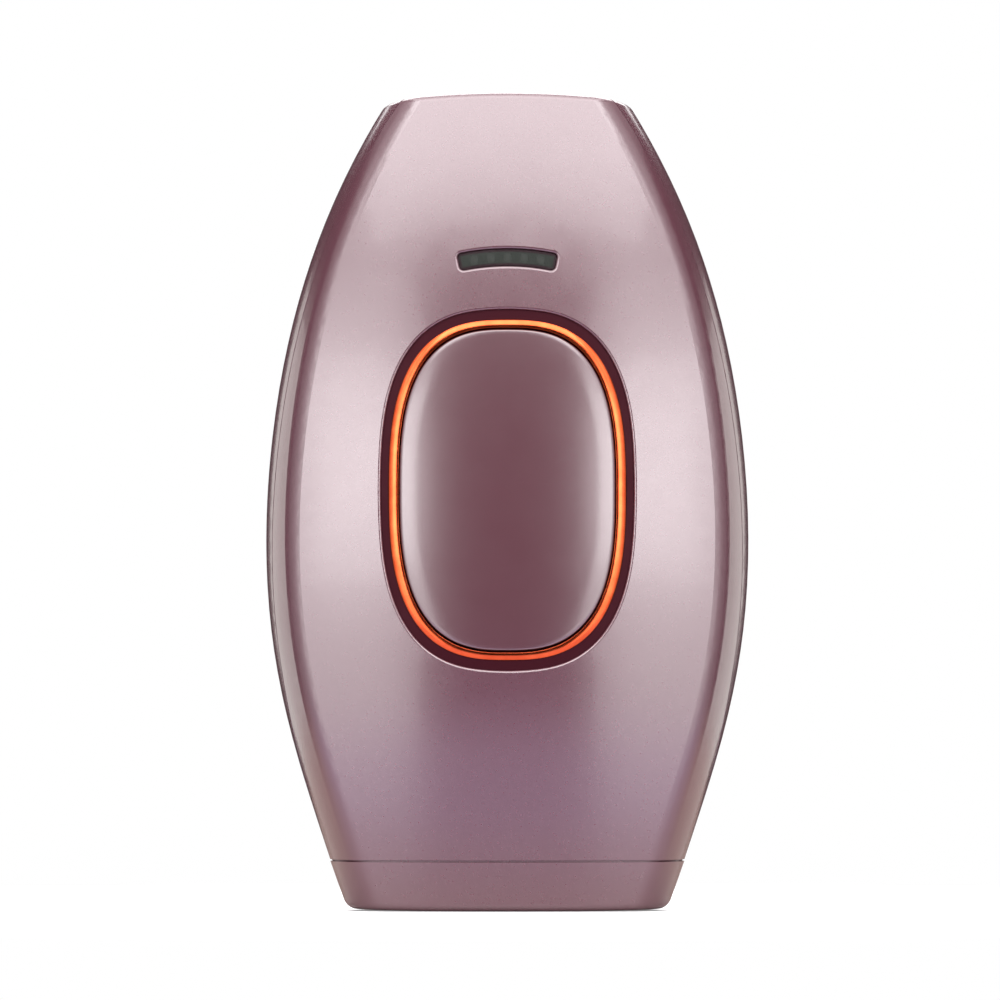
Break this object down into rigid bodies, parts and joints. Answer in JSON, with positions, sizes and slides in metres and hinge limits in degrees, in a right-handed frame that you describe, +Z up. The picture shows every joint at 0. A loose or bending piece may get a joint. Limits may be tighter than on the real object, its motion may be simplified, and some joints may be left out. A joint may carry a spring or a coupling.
{
  "type": "ipl hair remover",
  "caption": "Hand-held pulsed-light hair remover: lens-shaped two-part casing with a flash window in the tilted head end, a large front button in a bright ring and a bowed indicator strip.",
  "frame": {"origin": "middle of the flat under the tail cap, on the plane where the casing is widest", "axes": "+Z up the long axis towards the flash head, -Y out of the front with the button, +X to the viewer's right when facing the button"},
  "size_m": [0.0854, 0.039, 0.1446],
  "materials": {
    "pearl_rose": "metallic pearl paint under clear lacquer",
    "pearl_button": "metallic pearl paint under clear lacquer",
    "plum": "moulded, semi gloss",
    "copper_plating": "copper-coloured plating, polished",
    "smoked_lens": "smoked, polished",
    "clear_plastic": "clear",
    "filter_glass": "coated filter glass",
    "lamp_glass": "fused quartz",
    "contact_metal": "polished",
    "silicone": "matt silicone",
    "heat_plastic": "glass-filled, matt",
    "mirror_metal": "mirror polished",
    "terminal_metal": "tinned",
    "aluminium": "extruded",
    "black_plastic": "moulded, matt",
    "steel": "zinc plated",
    "bearing_brass": "turned",
    "winding": "enamelled copper wire",
    "blank_plate": "satin, blank",
    "board": "solder mask",
    "ferrite": "sintered, with yellow tape",
    "can_sleeve": "plastic sleeve on an aluminium can",
    "white_wire": "silicone insulation",
    "red_wire": "insulation",
    "black_wire": "insulation",
    "led_white": "phosphor"
  },
  "bodies": {
    "root": {"accent_ring": "copper_plating", "back_shell": "pearl_rose", "board_link": "black_plastic", "button_bezel": "plum", "capacitor_strap": "black_plastic", "capacitor_terminal_left": "terminal_metal", "capacitor_terminal_right": "terminal_metal", "case_screw_1": "steel", "case_screw_2": "steel", "case_screw_3": "steel", "case_screw_4": "steel", "charge_transformer": "ferrite", "control_board": "board", "controller_chip": "black_plastic", "dc_jack": "black_plastic", "dc_jack_pin": "terminal_metal", "dc_lead_minus": "black_wire", "dc_lead_plus": "red_wire", "fan_bearing": "bearing_brass", "fan_frame": "black_plastic", "fan_screw_high": "steel", "fan_screw_low": "steel", "fan_stator": "winding", "filter_glass": "filter_glass", "flash_lamp": "lamp_glass", "front_shell": "pearl_rose", "head_bezel": "plum", "heat_sink": "aluminium", "indicator_led_1": "led_white", "indicator_led_2": "led_white", "indicator_led_3": "led_white", "indicator_led_4": "led_white", "indicator_led_5": "led_white", "indicator_lens": "smoked_lens", "lamp_boot_left": "silicone", "lamp_boot_right": "silicone", "lamp_electrode_left": "terminal_metal", "lamp_electrode_right": "terminal_metal", "lamp_housing": "heat_plastic", "lamp_lead_left": "white_wire", "lamp_lead_right": "white_wire", "light_guide": "clear_plastic", "main_board": "board", "power_inductor": "winding", "power_transistor": "black_plastic", "rating_plate": "blank_plate", "reflector": "mirror_metal", "skin_sensor_back": "contact_metal", "skin_sensor_front": "contact_metal", "storage_capacitor": "can_sleeve", "tact_switch": "black_plastic", "tail_cap": "pearl_rose", "thermal_cutout": "heat_plastic", "trigger_transformer": "winding", "vent_grille": "plum", "window_gasket": "silicone"},
    "button": {"fire_button": "pearl_button", "switch_plunger": "black_plastic"},
    "rotor": {"fan_rotor": "black_plastic", "fan_shaft": "steel"}
  },
  "joints": [
    {"name": "button_press", "type": "slide", "parent": "root", "child": "button", "axis": [0, 1, 0], "range_m": [0, 0.0006], "stiffness_N_per_m": 2500, "springref_m": -0.0003},
    {"name": "fan_spin", "type": "hinge", "parent": "root", "child": "rotor", "pos_m": [0, 0.007, 0.0744], "axis": [0, 1, 0], "continuous": true}
  ]
}
